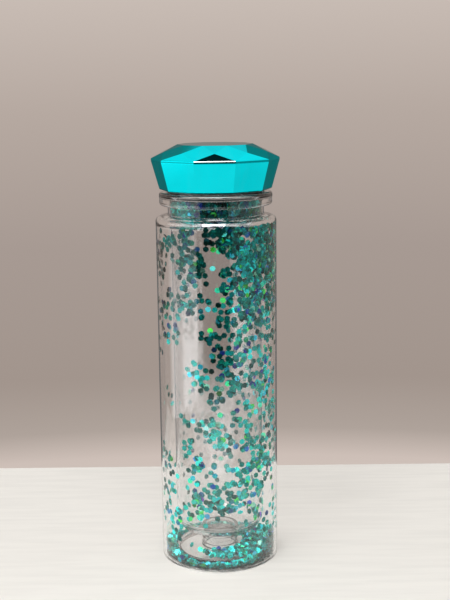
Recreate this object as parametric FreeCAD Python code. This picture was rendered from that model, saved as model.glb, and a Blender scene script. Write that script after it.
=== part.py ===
import FreeCAD, Part
import math
import os
import random

from FreeCAD import Placement, Rotation, Vector

# Double-wall drinks bottle with loose glitter between its walls and a gem-cut screw lid.
# Millimetres, +Z up, origin at the middle of the foot, one flat of the lid facing -Y.

# Outer shell: straight body, sloping shoulder, groove, and the lower half of the flange
body_diameter = 70.0
shell_wall = 1.8
shoulder_height = 206.2
shoulder_rise = 1.3
shoulder_round = 3.0
foot_round = 0.5
groove_diameter = 55.6
groove_height = 5.5
groove_round = 0.8
neck_wall = 1.0
shell_flange_diameter = 65.2
shell_flange_height = 4.3
shell_flange_round = 1.6

# Inner flask: straight cup, the upper half of the flange, and the narrower threaded neck above it
flask_diameter = 52.0
mouth_diameter = 50.0
flask_wall = 1.7
flask_floor = 1.7
flask_corner_round = 8.5
flask_flange_diameter = 65.5
flask_flange_height = 3.1
flask_flange_round = 1.6
neck_height = 12.0
rim_round = 0.5

# Base disc: seated against a ledge in the shell, its middle raised inside a channel for the glitter, a grooved
# pedestal ring under the flask
base_recess = 0.3
base_thickness = 1.2
base_ledge = 0.5
base_clearance = 0.05
channel_width = 6.3
panel_rise = 3.3
panel_slope = 0.4
panel_wall = 2.0
pedestal_diameter = 22.0
pedestal_wall = 1.6
pedestal_height = 11.7
pedestal_grooves = 2
pedestal_groove_depth = 0.7

# Screw thread, one right-hand start
thread_lead = 4.0
thread_depth = 1.3
thread_root_width = 2.0
thread_crest_width = 1.0
thread_start = 3.0
neck_thread_turns = 1.5
cap_thread_turns = 1.25
thread_clearance = 0.3
thread_bury = 0.2

# Gem lid, diameters across its corners
gem_sides = 10
lid_gap = 1.3
gem_foot_diameter = 64.8
gem_foot_chamfer = 0.6
girdle_diameter = 74.1
table_diameter = 43.3
pavilion_height = 16.7
girdle_height = 1.3
crown_height = 7.8
star_share = 0.5
gem_wall = 2.0
gem_ledge_height = 2.2
spigot_height = 2.0
spigot_wall = 1.4
spigot_clearance = 0.2

# Threaded insert and seal inside the lid
insert_wall = 1.5
insert_ceiling = 1.8
insert_flange_height = 1.5
insert_clearance = 0.1
insert_foot_gap = 0.3
gasket_thickness = 2.0
gasket_reach = 0.5
gasket_clearance = 0.2

# Glitter: flat six-sided flakes. A share is the part of the places that hold a flake, and a swing is
# what the share gains on the +X side and loses on the -X side.
flake_width = 3.0
flake_thickness = 0.12
flake_clearance = 0.1
flake_scatter = 0.7
wall_spacing = 7.0
shell_share = 0.30
shell_swing = 0.22
flask_share = 0.28
flask_swing = 0.16
neck_spacing = 5.4
neck_share = 0.8
panel_spacing = 4.6
panel_share = 0.55
panel_swing = 0.4
heap_layers = 6
heap_layer_height = 0.55
heap_share = 0.78
heap_swing = 0.15
heap_tilt = 4.0

# Radii of the walls
shell_radius = body_diameter / 2
shell_inner_radius = shell_radius - shell_wall
groove_radius = groove_diameter / 2
neck_inner_radius = groove_radius - neck_wall
flask_radius = flask_diameter / 2
flask_inner_radius = flask_radius - flask_wall
mouth_radius = mouth_diameter / 2
mouth_inner_radius = mouth_radius - flask_wall
ledge_radius = shell_inner_radius + base_ledge
panel_foot_radius = shell_inner_radius - channel_width
panel_radius = panel_foot_radius - panel_slope

# Heights above the table, from the foot up
base_top = base_recess + base_thickness
panel_top = base_top + panel_rise
flask_bottom = panel_top + pedestal_height
flask_floor_top = flask_bottom + flask_floor
shoulder_top = shoulder_height + shoulder_rise
flange_bottom = shoulder_top + groove_height
flange_seam = flange_bottom + shell_flange_height
flange_top = flange_seam + flask_flange_height
rim_top = flange_top + neck_height
lid_foot = flange_top + lid_gap
lid_ledge = lid_foot + gem_ledge_height
girdle_bottom = lid_foot + pavilion_height
girdle_top = girdle_bottom + girdle_height
table_top = girdle_top + crown_height

# Thread and insert radii
thread_crest_radius = mouth_radius + thread_depth
insert_bore_radius = thread_crest_radius + thread_clearance
insert_outer_radius = insert_bore_radius + insert_wall
cap_thread_crest_radius = mouth_radius + thread_clearance

# Gem radii, and the factor from a corner's radius to a flat's
gem_step = 360.0 / gem_sides
flat_share = math.cos(math.radians(gem_step / 2))
gem_foot_radius = gem_foot_diameter / 2
girdle_radius = girdle_diameter / 2
table_radius = table_diameter / 2

# A flake's corner radius, the turn after which it looks the same, and the turn from one place to the next
flake_sides = 6
flake_corner_radius = flake_width / 2 / math.cos(math.pi / flake_sides)
flake_repeat = 360.0 / flake_sides
golden_angle = math.pi * (3.0 - math.sqrt(5.0))


def rounded_wire(corners):
    """Closed outline in the XZ plane: corners are (radius, height, rounding), each rounding a tangent arc."""
    count = len(corners)
    spots = [Vector(r, 0, z) for r, z, _ in corners]
    starts, ends, middles = [], [], []
    for i, (_, _, rounding) in enumerate(corners):
        here = spots[i]
        back = (spots[i - 1] - here).normalize()
        ahead = (spots[(i + 1) % count] - here).normalize()
        half = back.getAngle(ahead) / 2
        run = rounding / math.tan(half)
        starts.append(here + back * run)
        ends.append(here + ahead * run)
        bisector = (back + ahead).normalize() if rounding else Vector()
        middles.append(here + bisector * (rounding / math.sin(half) - rounding))
    edges = []
    for i, (_, _, rounding) in enumerate(corners):
        if rounding:
            edges.append(Part.Arc(starts[i], middles[i], ends[i]).toShape())
        following = starts[(i + 1) % count]
        if ends[i].distanceToPoint(following) > 1e-6:
            edges.append(Part.LineSegment(ends[i], following).toShape())
    return Part.Wire(edges)


def turned(corners):
    """Solid of revolution about Z from an outline of (radius, height, rounding) corners."""
    return Part.Face(rounded_wire(corners)).revolve(Vector(), Vector(0, 0, 1), 360)


def thread_ridge(wall_radius, crest_radius, first_height, turns):
    """Helical ridge from a wall to its crest, tapered in section and sunk a little into the wall."""
    outward = math.copysign(1.0, crest_radius - wall_radius)
    root_radius = wall_radius - outward * thread_bury
    root = thread_root_width / 2
    crest = thread_crest_width / 2
    section = [Vector(root_radius, 0, -root), Vector(root_radius, 0, root),
               Vector(crest_radius, 0, crest), Vector(crest_radius, 0, -crest)]
    helix = Part.Wire(Part.makeHelix(thread_lead, thread_lead * turns, wall_radius))
    ridge = helix.makePipeShell([Part.makePolygon(section + section[:1])], True, True)
    ridge.translate(Vector(0, 0, first_height))
    return ridge


def gem_corners(radius, height, corner_first=False):
    """Corners of a regular polygon with a flat facing -Y, or with its first corner there."""
    first = -90.0 + (0.0 if corner_first else gem_step / 2)
    angles = [math.radians(first + gem_step * k) for k in range(gem_sides)]
    return [Vector(radius * math.cos(a), radius * math.sin(a), height) for a in angles]


def solid_of(polygons):
    """Closed solid from its flat faces."""
    faces = [Part.Face(Part.makePolygon(points + points[:1])) for points in polygons]
    solid = Part.Solid(Part.Shell(faces))
    if solid.Volume < 0:
        solid.reverse()
    return solid


def band(lower, upper):
    """Flat four-sided faces between two rings of corners."""
    count = len(lower)
    return [[lower[k], lower[(k + 1) % count], upper[(k + 1) % count], upper[k]] for k in range(count)]


def gem_stack(rings):
    """Faceted solid through polygons of (corner radius, height), from the lowest up."""
    corners = [gem_corners(radius, height) for radius, height in rings]
    faces = [corners[0], corners[-1]]
    for lower, upper in zip(corners, corners[1:]):
        faces += band(lower, upper)
    return solid_of(faces)


def brilliant(bottom, girdle, girdle_z, table, table_z):
    """Gem top: straight band up to the girdle, then girdle triangles, kites, star facets and the table."""
    star_run = table + (girdle - table) * star_share
    star_z = table_z + (girdle_z - table_z) * star_share
    foot = gem_corners(girdle, bottom)
    rim = gem_corners(girdle, girdle_z)
    top = gem_corners(table, table_z)
    stars = gem_corners(star_run / flat_share, star_z, corner_first=True)
    faces = [foot, top] + band(foot, rim)
    for k in range(gem_sides):
        after = (k + 1) % gem_sides
        faces.append([top[k], top[after], stars[after]])
        faces.append([rim[k], rim[after], stars[after]])
        faces.append([top[k], stars[k], rim[k], stars[after]])
    return solid_of(faces)


def pavilion_radius(height):
    """Corner radius of the lid's tapering outside at a height."""
    share = (height - lid_foot) / pavilion_height
    return gem_foot_radius + (girdle_radius - gem_foot_radius) * share


def outer_shell():
    inner_round = max(shoulder_round - shell_wall, shell_wall / 2)
    return turned([
        (shell_radius, 0, foot_round),
        (shell_radius, shoulder_height, shoulder_round),
        (groove_radius, shoulder_top, groove_round),
        (groove_radius, flange_bottom, groove_round),
        (shell_flange_diameter / 2, flange_bottom, shell_flange_round),
        (shell_flange_diameter / 2, flange_seam, 0),
        (neck_inner_radius, flange_seam, 0),
        (neck_inner_radius, shoulder_top - shell_wall, 0),
        (shell_inner_radius, shoulder_height - shell_wall, inner_round),
        (shell_inner_radius, base_top, 0),
        (ledge_radius, base_top, 0),
        (ledge_radius, 0, 0),
    ])


def inner_flask():
    inner_round = max(flask_corner_round - flask_wall, flask_wall)
    cup = turned([
        (0, flask_bottom, 0),
        (flask_radius, flask_bottom, flask_corner_round),
        (flask_radius, flange_seam, 0),
        (flask_flange_diameter / 2, flange_seam, 0),
        (flask_flange_diameter / 2, flange_top, flask_flange_round),
        (mouth_radius, flange_top, 0),
        (mouth_radius, rim_top, rim_round),
        (mouth_inner_radius, rim_top, rim_round),
        (mouth_inner_radius, flange_top, 0),
        (flask_inner_radius, flange_seam, 0),
        (flask_inner_radius, flask_floor_top, inner_round),
        (0, flask_floor_top, 0),
    ])
    ridge = thread_ridge(mouth_radius, thread_crest_radius, flange_top + thread_start, neck_thread_turns)
    return cup.fuse(ridge).Solids[0]


def base_disc():
    disc_radius = ledge_radius - base_clearance
    hollow_radius = panel_radius - panel_wall
    pedestal_radius = pedestal_diameter / 2
    band_height = pedestal_height / (2 * pedestal_grooves + 1)
    grooves = []
    for k in range(pedestal_grooves):
        low = panel_top + (2 * k + 1) * band_height
        floor_radius = pedestal_radius - pedestal_groove_depth
        grooves += [
            (pedestal_radius, low, 0),
            (floor_radius, low, 0),
            (floor_radius, low + band_height, 0),
            (pedestal_radius, low + band_height, 0),
        ]
    return turned([
        (0, base_recess + panel_rise, 0),
        (hollow_radius, base_recess + panel_rise, 0),
        (hollow_radius + panel_slope, base_recess, 0),
        (disc_radius, base_recess, 0),
        (disc_radius, base_top, 0),
        (panel_foot_radius, base_top, 0),
        (panel_radius, panel_top, 0),
        (pedestal_radius, panel_top, 0),
        *grooves,
        (pedestal_radius, flask_bottom, 0),
        (pedestal_radius - pedestal_wall, flask_bottom, 0),
        (pedestal_radius - pedestal_wall, panel_top, 0),
        (0, panel_top, 0),
    ])


def gem_skirt():
    offset = gem_wall / flat_share
    chamfer_top = lid_foot + gem_foot_chamfer
    over = girdle_bottom + girdle_height
    outside = gem_stack([
        (gem_foot_radius - gem_foot_chamfer, lid_foot),
        (pavilion_radius(chamfer_top), chamfer_top),
        (girdle_radius, girdle_bottom),
    ])
    inside = gem_stack([
        (pavilion_radius(lid_ledge) - offset, lid_ledge),
        (pavilion_radius(over) - offset, over),
    ])
    hole = Part.makeCylinder(insert_outer_radius + insert_clearance, gem_ledge_height, Vector(0, 0, lid_foot))
    return outside.cut(inside.fuse(hole)).Solids[0]


def gem_crown():
    spigot_foot = girdle_bottom - spigot_height
    spigot_radius = pavilion_radius(spigot_foot) - (gem_wall + spigot_clearance) / flat_share
    bore_radius = spigot_radius - spigot_wall / flat_share
    slope = crown_height / (girdle_radius - table_radius)
    drop = gem_wall * math.hypot(1.0, slope)
    inner_table_z = table_top - gem_wall
    inner_girdle_z = girdle_top + (girdle_radius - bore_radius) * slope - drop
    inner_table = bore_radius - (inner_table_z - inner_girdle_z) / slope
    outside = brilliant(girdle_bottom, girdle_radius, girdle_top, table_radius, table_top)
    spigot = gem_stack([(spigot_radius, spigot_foot), (spigot_radius, girdle_top)])
    inside = brilliant(spigot_foot, bore_radius, inner_girdle_z, inner_table, inner_table_z)
    return outside.fuse(spigot).cut(inside).removeSplitter().Solids[0]


def cap_insert():
    ceiling = rim_top + gasket_thickness
    insert_foot = flange_top + insert_foot_gap
    flange_radius = pavilion_radius(lid_ledge) * flat_share - gem_wall - insert_clearance
    cup = turned([
        (insert_bore_radius, insert_foot, 0),
        (insert_outer_radius, insert_foot, 0),
        (insert_outer_radius, lid_ledge, 0),
        (flange_radius, lid_ledge, 0),
        (flange_radius, lid_ledge + insert_flange_height, 0),
        (insert_outer_radius, lid_ledge + insert_flange_height, 0),
        (insert_outer_radius, ceiling + insert_ceiling, insert_wall / 2),
        (0, ceiling + insert_ceiling, 0),
        (0, ceiling, 0),
        (insert_bore_radius, ceiling, 0),
    ])
    first = flange_top + thread_start + thread_lead / 2
    ridge = thread_ridge(insert_bore_radius, cap_thread_crest_radius, first, cap_thread_turns)
    return cup.fuse(ridge).Solids[0]


def cap_gasket():
    inner = mouth_inner_radius - gasket_reach
    outer = insert_bore_radius - gasket_clearance
    return turned([
        (inner, rim_top, 0),
        (outer, rim_top, 0),
        (outer, rim_top + gasket_thickness, 0),
        (inner, rim_top + gasket_thickness, 0),
    ])


def flake_at(place, normal, spin):
    """One flake with its middle at a place, facing along a normal and turned about it by spin degrees."""
    angles = [2 * math.pi * k / flake_sides for k in range(flake_sides)]
    corners = [Vector(flake_corner_radius * math.cos(a), flake_corner_radius * math.sin(a), -flake_thickness / 2)
               for a in angles]
    flake = Part.Face(Part.makePolygon(corners + corners[:1])).extrude(Vector(0, 0, flake_thickness))
    turn = Rotation(Vector(0, 0, 1), normal).multiply(Rotation(Vector(0, 0, 1), spin))
    flake.Placement = Placement(place, turn)
    return flake


def wall_flakes(radius, low, high, spacing, share, swing, seed):
    """Flakes flat against a cylinder: a golden-angle spiral with small shifts, thinned by the share."""
    draw = random.Random(seed)
    rise = spacing ** 2 / (2 * math.pi * radius)
    margin = flake_corner_radius + flake_scatter
    flakes = []
    for k in range(int((high - low - 2 * margin) / rise)):
        angle = k * golden_angle + draw.uniform(-flake_scatter, flake_scatter) / radius
        height = low + margin + k * rise + draw.uniform(-flake_scatter, flake_scatter)
        spin = draw.uniform(0.0, flake_repeat)
        if draw.random() < share + swing * math.cos(angle):
            normal = Vector(math.cos(angle), math.sin(angle), 0)
            flakes.append(flake_at(normal * radius + Vector(0, 0, height), normal, spin))
    return flakes


def glitter_shell():
    """Flakes on the inside of the outer shell."""
    sag = shell_inner_radius - math.sqrt(shell_inner_radius ** 2 - flake_corner_radius ** 2)
    radius = shell_inner_radius - sag - flake_clearance - flake_thickness
    low = base_top + heap_layers * heap_layer_height
    high = shoulder_height - shoulder_round
    flakes = wall_flakes(radius, low, high, wall_spacing, shell_share, shell_swing, seed=11)
    return Part.makeCompound(flakes)


def glitter_flask():
    """Flakes on the outside of the inner flask."""
    radius = flask_radius + flake_clearance + flake_thickness
    low = flask_bottom + flask_corner_round
    high = shoulder_height - shell_wall
    flakes = wall_flakes(radius, low, high, wall_spacing, flask_share, flask_swing, seed=23)
    return Part.makeCompound(flakes)


def glitter_neck():
    """Flakes caught in the narrow gap between neck and flask."""
    radius = (neck_inner_radius + flask_radius) / 2
    low = shoulder_height - shell_wall
    flakes = wall_flakes(radius, low, flange_seam, neck_spacing, neck_share, swing=0.0, seed=37)
    return Part.makeCompound(flakes)


def heap_flakes(draw):
    """Stacks of flakes, each a little tilted, in the channel round the raised panel.

    Each layer is half a slot further round, and a flake lies only on one of the layer below.
    """
    reach = flake_corner_radius + flake_clearance
    inner = panel_foot_radius + reach
    outer = shell_inner_radius - reach
    slots = int(math.pi * inner / reach)
    lift = flake_corner_radius * math.sin(math.radians(heap_tilt)) + flake_thickness
    standing = set(range(slots))
    flakes = []
    for layer in range(heap_layers):
        height = base_top + lift + layer * heap_layer_height
        for slot in sorted(standing):
            angle = 2 * math.pi * (slot + layer / 2) / slots
            radius = draw.uniform(inner, outer)
            tilt = math.radians(draw.uniform(0.0, heap_tilt))
            lean = draw.uniform(0.0, 2 * math.pi)
            spin = draw.uniform(0.0, flake_repeat)
            if draw.random() > heap_share + heap_swing * math.cos(angle):
                standing.remove(slot)
                continue
            flat = math.sin(tilt)
            normal = Vector(flat * math.cos(lean), flat * math.sin(lean), math.cos(tilt))
            place = Vector(radius * math.cos(angle), radius * math.sin(angle), height)
            flakes.append(flake_at(place, normal, spin))
    return flakes


def panel_flakes(draw):
    """Flakes lying on the raised panel round the pedestal, on a golden-angle spiral, most of them front right."""
    reach = flake_corner_radius + flake_clearance
    inner = pedestal_diameter / 2 + reach
    outer = panel_radius - reach
    count = int(math.pi * (outer ** 2 - inner ** 2) / panel_spacing ** 2)
    flakes = []
    for k in range(count):
        radius = math.sqrt(inner ** 2 + k * panel_spacing ** 2 / math.pi)
        angle = k * golden_angle
        spin = draw.uniform(0.0, flake_repeat)
        if draw.random() < panel_share + panel_swing * math.cos(angle + math.pi / 4):
            place = Vector(radius * math.cos(angle), radius * math.sin(angle), panel_top + flake_thickness)
            flakes.append(flake_at(place, Vector(0, 0, 1), spin))
    return flakes


def glitter_heap():
    """Flakes that lie on the base, in the channel and on the panel."""
    draw = random.Random(41)
    return Part.makeCompound(heap_flakes(draw) + panel_flakes(draw))


pieces = [
    outer_shell, inner_flask, base_disc,
    gem_skirt, gem_crown, cap_insert, cap_gasket,
    glitter_shell, glitter_flask, glitter_neck, glitter_heap,
]

os.makedirs("parts", exist_ok=True)
for piece in pieces:
    shape = piece()
    shape.exportStep(f"parts/{piece.__name__}.step")
    print(f"{piece.__name__}: {len(shape.Solids)} solids, {shape.Volume:.1f} mm3, valid {shape.isValid()}")
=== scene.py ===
import math

import bmesh
import bpy
import numpy as np
from mathutils import Matrix, Vector


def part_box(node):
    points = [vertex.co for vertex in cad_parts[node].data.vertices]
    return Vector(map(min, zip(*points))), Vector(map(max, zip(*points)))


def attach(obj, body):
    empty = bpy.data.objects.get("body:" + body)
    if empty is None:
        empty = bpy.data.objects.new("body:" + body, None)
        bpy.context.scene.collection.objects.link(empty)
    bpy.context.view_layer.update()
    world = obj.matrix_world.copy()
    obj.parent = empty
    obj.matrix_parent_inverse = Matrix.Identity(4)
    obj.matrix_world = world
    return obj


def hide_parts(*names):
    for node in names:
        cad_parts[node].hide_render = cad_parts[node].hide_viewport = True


bl_info = {
    "name": "Glitter bottle with gem lid",
    "version": (1, 0, 0),
    "blender": (4, 5, 0),
    "location": "View3D > Sidebar > Glitter Bottle",
    "description": "Dresses the double-wall glitter bottle: clear walls, gem-cut lid, flakes and stage",
    "category": "Object",
}

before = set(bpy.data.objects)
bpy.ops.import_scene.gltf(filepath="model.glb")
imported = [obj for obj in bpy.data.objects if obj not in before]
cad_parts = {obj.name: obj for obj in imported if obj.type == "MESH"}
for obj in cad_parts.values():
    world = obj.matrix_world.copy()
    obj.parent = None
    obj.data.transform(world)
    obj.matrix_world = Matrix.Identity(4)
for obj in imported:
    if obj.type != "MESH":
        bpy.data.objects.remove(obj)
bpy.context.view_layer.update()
MM = 0.001
UP = np.array([0.0, 0.0, 1.0])

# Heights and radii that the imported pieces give, in metres
SHELL_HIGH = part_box("outer_shell")[1]
FLASK_LOW, FLASK_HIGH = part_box("inner_flask")
DISC_LOW, DISC_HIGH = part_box("base_disc")
SKIRT_LOW, SKIRT_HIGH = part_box("gem_skirt")
CROWN_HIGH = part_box("gem_crown")[1]

# Sides of the lid and of a flake, and what the distance to a flat is of that to a corner
GEM_SIDES = 10
GEM_FLAT = math.cos(math.pi / GEM_SIDES)
FLAKE_SIDES = 6
FLAKE_FLAT = math.cos(math.pi / FLAKE_SIDES)

# The lid's sides where the girdle's top edge is rubbed
RUBBED_SIDES = (2, 5, 9)

# Lengths below which two points are one, and a size is nothing
MERGE = 1e-7
TINY = 1e-9

# How finely the turned pieces are drawn, and from which angle an edge is sharp or gets rounded
LATHE_COLUMNS = 160
NECK_ROWS = 56
ARC_STEPS = 9
HOLD = 0.25 * MM
SMOOTH_ANGLE = math.radians(32.0)
BEVEL_ANGLE = math.radians(8.0)


def length_prop(name, description, millimetres):
    """A length that a user may change, given here in millimetres and kept in metres."""
    return bpy.props.FloatProperty(
        name=name, description=description, default=millimetres * MM, min=0.0, unit="LENGTH", precision=5)


def angle_prop(name, description, degrees):
    """An angle that a user may change, given here in degrees and kept in radians."""
    return bpy.props.FloatProperty(
        name=name, description=description, default=math.radians(degrees), subtype="ANGLE")


def linear(hex_colour):
    """Linear red, green, blue and alpha of an sRGB hex colour."""
    code = hex_colour.lstrip("#")
    shares = np.array([int(code[i:i + 2], 16) for i in (0, 2, 4)]) / 255.0
    straight = np.where(shares <= 0.04045, shares / 12.92, ((shares + 0.055) / 1.055) ** 2.4)
    return (*straight.tolist(), 1.0)


def colour_prop(name, description, hex_colour):
    """A colour that a user may change, given here as sRGB hex and kept linear."""
    return bpy.props.FloatVectorProperty(
        name=name, description=description, default=linear(hex_colour), size=4, min=0.0, max=1.0,
        subtype="COLOR")


class BottleSizes(bpy.types.PropertyGroup):
    """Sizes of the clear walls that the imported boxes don't give."""

    shell_wall: length_prop("Shell wall", "Thickness of the outer shell", 1.8)
    shoulder_height: length_prop("Shoulder height", "Outer edge of the shoulder", 206.2)
    shoulder_rise: length_prop("Shoulder rise", "How far the shoulder climbs to the neck", 1.3)
    shoulder_round: length_prop("Shoulder round", "Rounding of the shoulder", 3.0)
    shoulder_fillet: length_prop("Shoulder fillet", "Larger rounding inside the shoulder", 4.5)
    foot_round: length_prop("Foot round", "Rounding of the foot's outer edge", 0.5)
    groove_radius: length_prop("Groove radius", "Outside of the neck groove", 27.8)
    groove_height: length_prop("Groove height", "Height of the neck groove", 5.5)
    groove_round: length_prop("Groove round", "Rounding in the groove's corners", 0.8)
    neck_wall: length_prop("Neck wall", "Wall behind the groove", 1.0)
    flange_radius: length_prop("Shell flange radius", "Lower half of the flange", 32.6)
    flange_round: length_prop("Shell flange round", "Rounding of the flange's lower edge", 1.6)
    base_top: length_prop("Base top", "Ledge that the base disc is seated against", 1.5)
    ledge_radius: length_prop("Ledge radius", "Recess for the base disc", 33.7)
    flask_radius: length_prop("Flask radius", "Outside of the inner flask", 26.0)
    mouth_radius: length_prop("Mouth radius", "Outside of the threaded neck", 25.0)
    flask_wall: length_prop("Flask wall", "Thickness of the inner flask", 1.7)
    flask_floor: length_prop("Flask floor", "Thickness of the flask's floor", 1.7)
    flask_round: length_prop("Flask corner round", "Rounding of the flask's lower corner", 8.5)
    flask_flange_height: length_prop("Flask flange height", "Upper half of the flange", 3.1)
    flask_flange_round: length_prop("Flask flange round", "Rounding of the flange's top edge", 1.6)
    rim_round: length_prop("Rim round", "Rounding of the drinking rim", 0.5)
    panel_radius: length_prop("Panel radius", "Raised middle of the base disc", 26.5)
    panel_rise: length_prop("Panel rise", "How far the panel stands up", 3.3)
    panel_slope: length_prop("Panel slope", "Run of the panel's sloping edge", 0.4)
    panel_wall: length_prop("Panel wall", "Thickness of the step round the panel", 2.0)
    pedestal_radius: length_prop("Pedestal radius", "Ring that carries the flask", 11.0)
    pedestal_wall: length_prop("Pedestal wall", "Thickness of that ring", 1.6)
    pedestal_grooves: bpy.props.IntProperty(
        name="Pedestal grooves", description="Grooves round that ring", default=2, min=0)
    groove_depth: length_prop("Groove depth", "Depth of those grooves", 0.7)
    weld_gap: length_prop("Weld gap", "Hairline left between two clear pieces that meet", 0.04)
    thread_lead: length_prop("Thread lead", "Rise of the thread in one turn", 4.0)
    thread_depth: length_prop("Thread depth", "How far the ridge stands off the neck", 1.3)
    thread_root: length_prop("Thread root width", "Ridge width at the neck", 2.0)
    thread_crest: length_prop("Thread crest width", "Ridge width at its crest", 1.0)
    thread_start: length_prop("Thread start", "Middle of the ridge's start above the flange", 3.0)
    thread_turns: bpy.props.FloatProperty(
        name="Thread turns", description="Length of the ridge in turns", default=1.5, min=0.0)


class LidSizes(bpy.types.PropertyGroup):
    """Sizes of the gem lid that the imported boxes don't give."""

    foot_radius: length_prop("Foot radius", "Corner radius at the lid's foot", 32.4)
    foot_chamfer: length_prop("Foot chamfer", "Chamfer round the foot", 0.6)
    table_radius: length_prop("Table radius", "Corner radius of the flat table", 21.65)
    girdle_height: length_prop("Girdle height", "Straight band at the widest place", 1.3)
    wall: length_prop("Lid wall", "Thickness of the moulding", 2.0)
    ledge_height: length_prop("Ledge height", "Floor of the skirt that carries the insert", 2.2)
    hole_radius: length_prop("Hole radius", "Hole in the skirt's floor for the insert", 28.2)
    spigot_height: length_prop("Spigot height", "Ring of the crown that goes down into the skirt", 2.0)
    spigot_wall: length_prop("Spigot wall", "Thickness of that ring", 1.4)
    spigot_clearance: length_prop("Spigot clearance", "Room round that ring", 0.2)
    edge_round: length_prop("Edge round", "Rounding of the edges between facets", 0.14)
    wear_run: length_prop("Wear run", "How far in the sloping edge of the girdle reaches", 0.2)
    wear_drop: length_prop("Wear drop", "How far down the sloping edge of the girdle reaches", 0.25)


class GlitterSizes(bpy.types.PropertyGroup):
    """Size of the flakes and how they lie."""

    width: length_prop("Flake width", "Distance across a flake's flats", 3.0)
    thickness: length_prop("Flake thickness", "Thickness of the film", 0.12)
    wall_tilt: angle_prop("Wall tilt", "Usual tilt of a flake on its wall", 5.0)
    loose_tilt: angle_prop("Loose tilt", "Largest tilt of a flake that has come loose from its wall", 32.0)
    loose_share: bpy.props.FloatProperty(
        name="Loose share", description="Share of the flakes that stand off their wall", default=0.1,
        min=0.0, max=1.0)
    cling: length_prop("Cling", "How far a flake's film is pressed into the wall it clings to", 0.05)
    tone_spread: bpy.props.FloatProperty(
        name="Tone spread", description="How much the flakes' tones differ", default=0.42, min=0.0)
    heap_tilt: angle_prop("Heap tilt", "Usual tilt of a flake in the heap", 20.0)
    seed: bpy.props.IntProperty(name="Seed", description="Start of the random draws", default=7, min=0)


class FinishColours(bpy.types.PropertyGroup):
    """Colours of the finishes, other than the flakes."""

    clear: colour_prop("Clear plastic", "Tint of the clear walls", "#FDFDFD")
    lacquer: colour_prop("Lid lacquer", "Tinted lacquer over the metal film", "#04DFE8")
    lacquer_edge: colour_prop("Lid at a slant", "The lid's colour at a grazing angle", "#7FB4BA")
    bare_film: colour_prop("Bare metal film", "The lid's edge where the lacquer is rubbed off", "#E6F0F0")
    # A guessed colour, made dark grey partly as painted shade for the gap under the lid, which the clear
    # walls leave lit
    insert: colour_prop("Insert", "Moulded insert", "#3F4B4B")
    gasket: colour_prop("Gasket", "Milky silicone", "#DDE1DE")


class StageSettings(bpy.types.PropertyGroup):
    """Camera, floor and light."""

    camera_place: bpy.props.FloatVectorProperty(
        name="Camera place", description="Where the camera stands", size=3, subtype="TRANSLATION",
        default=(0.0061, -0.6292, 0.2795))
    camera_pitch: angle_prop("Camera pitch", "How far the camera looks down", 11.08)
    camera_yaw: angle_prop("Camera yaw", "How far the camera looks to the left", 0.13)
    camera_roll: angle_prop("Camera roll", "Turn about the line of sight", -0.68)
    camera_lens: bpy.props.FloatProperty(
        name="Camera lens", description="Focal length on a 36 mm sensor", default=65.36, min=1.0)
    floor_front: length_prop("Floor front", "Reach of the floor towards the camera", 200.0)
    floor_back: length_prop("Floor back", "Reach of the floor behind the object", 150.0)
    floor_side: length_prop("Floor side", "Reach of the floor to each side", 320.0)
    floor_colour: colour_prop("Floor", "Matt white paint", "#E3E0DA")
    key_power: bpy.props.FloatProperty(
        name="Key power", description="Power of the key lamp", default=9.4, min=0.0, unit="POWER")
    key_place: bpy.props.FloatVectorProperty(
        name="Key place", description="Where the key lamp hangs", size=3, subtype="TRANSLATION",
        default=(-0.1, -0.62, 1.12))
    key_width: length_prop("Key width", "Width of the key lamp", 900.0)
    key_height: length_prop("Key height", "Height of the key lamp", 600.0)
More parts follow.
